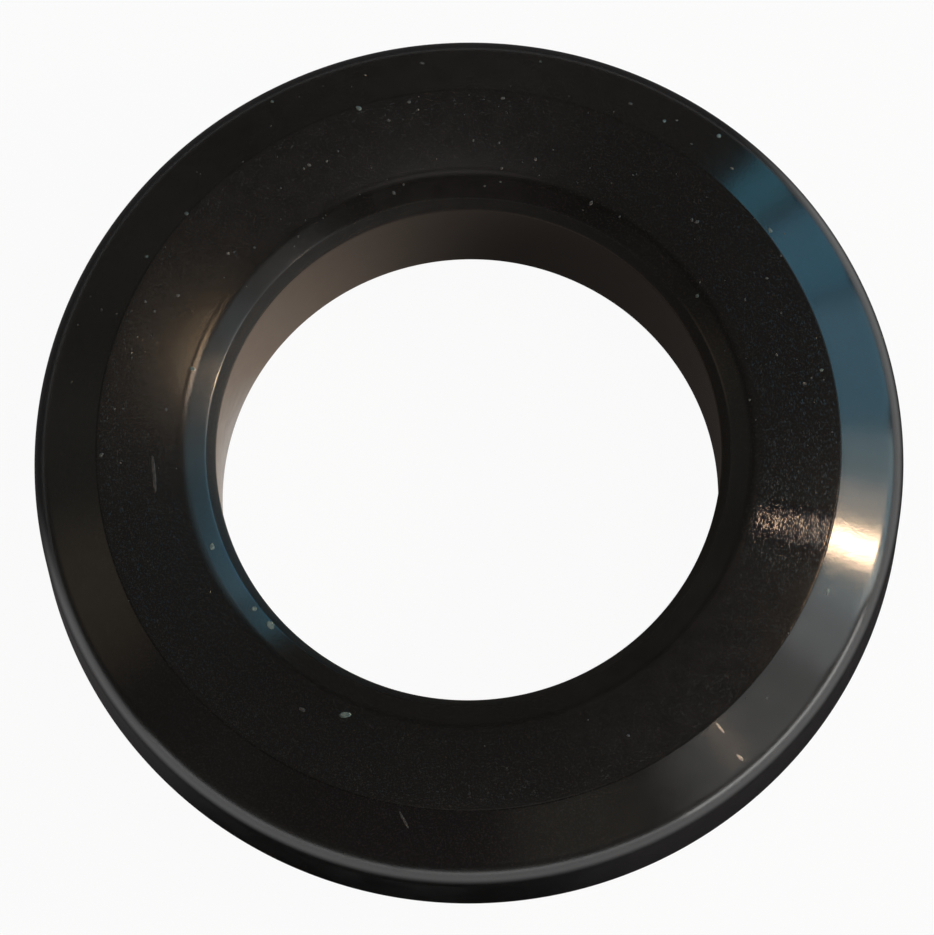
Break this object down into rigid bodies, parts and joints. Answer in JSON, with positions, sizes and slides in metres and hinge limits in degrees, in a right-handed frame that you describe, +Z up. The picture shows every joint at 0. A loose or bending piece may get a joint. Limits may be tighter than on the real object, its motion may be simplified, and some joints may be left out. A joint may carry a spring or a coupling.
{
  "type": "rubber gasket",
  "caption": "Thick moulded ring gasket with flat sealing faces, bevelled outer edges, a rounded rim and a countersunk bore.",
  "frame": {"origin": "centre of the underside, on the ring's axis", "axes": "+Z up along the ring's axis, towards the countersunk face"},
  "size_m": [0.0344, 0.0344, 0.0086],
  "materials": {
    "rubber": "smooth moulded black rubber, semi-gloss, with faint concentric tool marks, dust and a few light marks"
  },
  "bodies": {
    "root": {"gasket": "rubber"}
  },
  "joints": []
}
